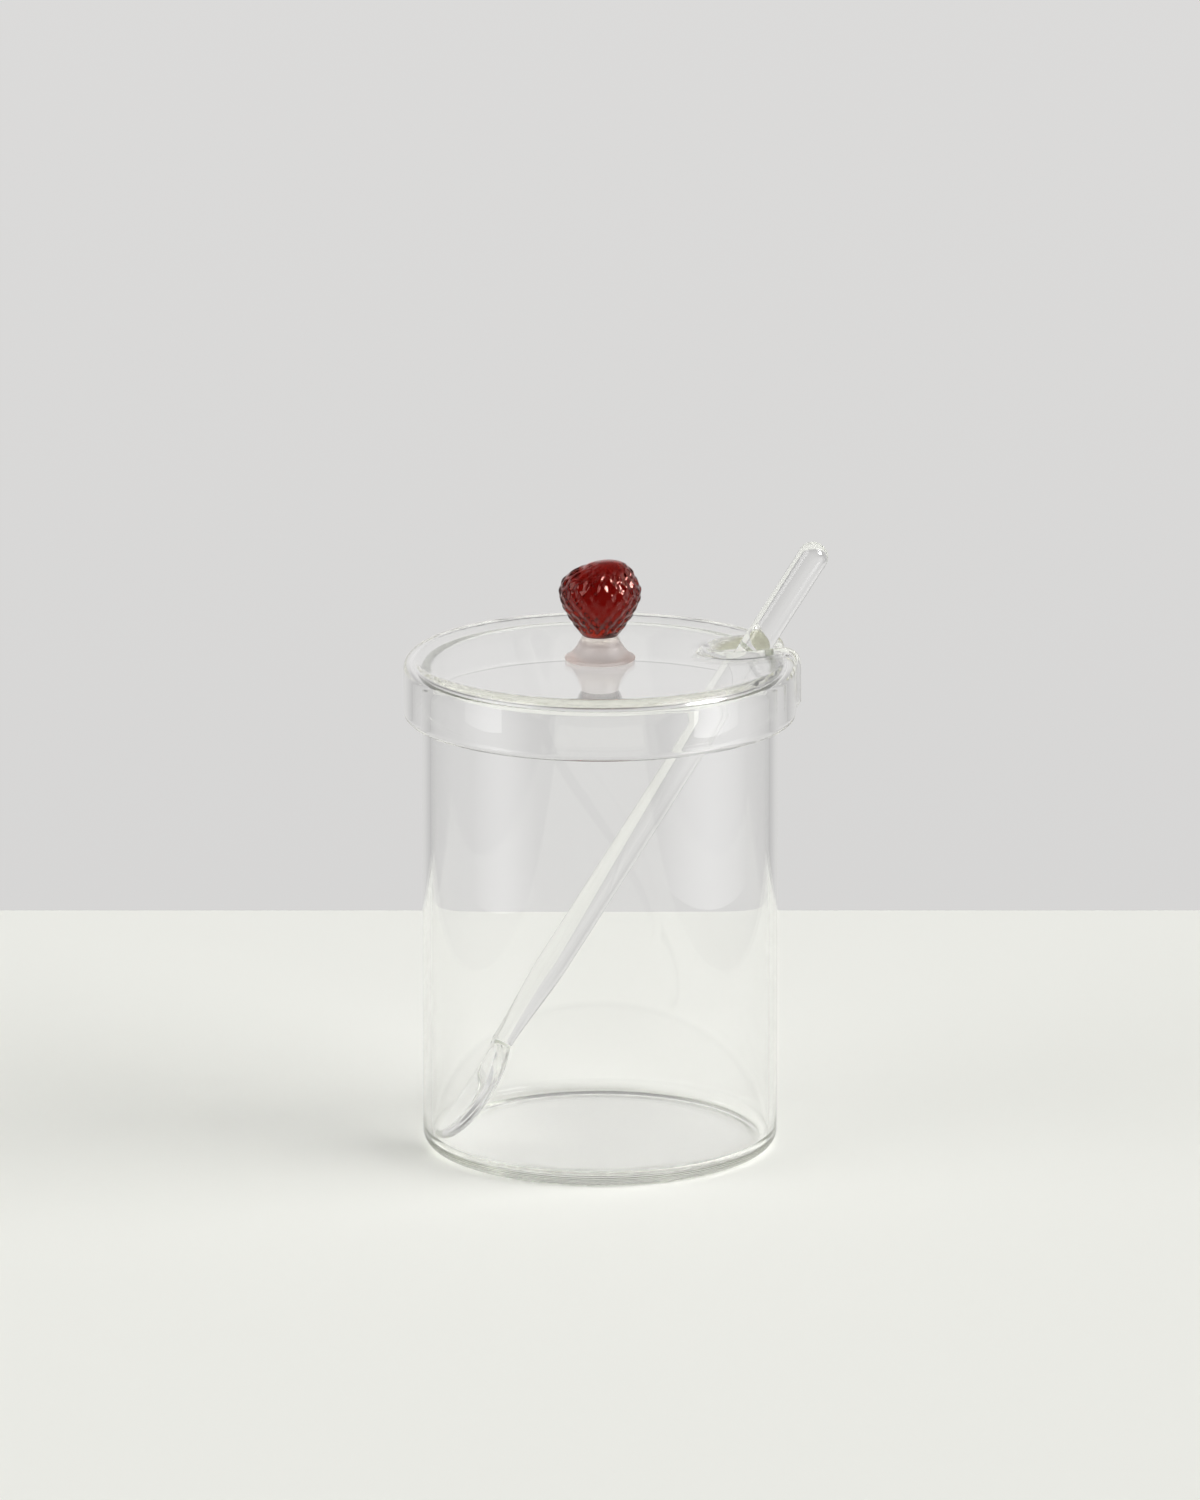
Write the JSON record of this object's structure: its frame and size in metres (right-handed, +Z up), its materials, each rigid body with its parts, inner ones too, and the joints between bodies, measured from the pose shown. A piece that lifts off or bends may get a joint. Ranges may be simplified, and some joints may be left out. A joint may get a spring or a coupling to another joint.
{
  "type": "jam pot",
  "caption": "Clear glass jam pot: straight cylindrical jar, loose notched lid with a red strawberry knob, and a glass rod spoon that leans through the notch.",
  "frame": {"origin": "centre of the jar's flat underside, on the table", "axes": "+Z up along the jar, +X towards the lid's notch, where the spoon leans out"},
  "size_m": [0.0871, 0.0794, 0.1226],
  "materials": {
    "clear_glass": "clear, fire-polished",
    "pale_glass": "clear, fire-polished",
    "red_glass": "transparent red, pitted skin"
  },
  "bodies": {
    "jar": {"jar": "clear_glass"},
    "lid": {"lid": "clear_glass", "knob_foot": "pale_glass", "strawberry_knob": "red_glass"},
    "spoon": {"spoon_handle": "clear_glass", "spoon_bowl": "clear_glass"}
  },
  "joints": [
    {"name": "lid_lift", "type": "slide", "parent": "jar", "child": "lid", "axis": [0, 0, 1], "range_m": [0, 0.05]},
    {"name": "spoon_draw", "type": "slide", "parent": "jar", "child": "spoon", "axis": [0.5548, 0, 0.832], "range_m": [0, 0.085]}
  ]
}
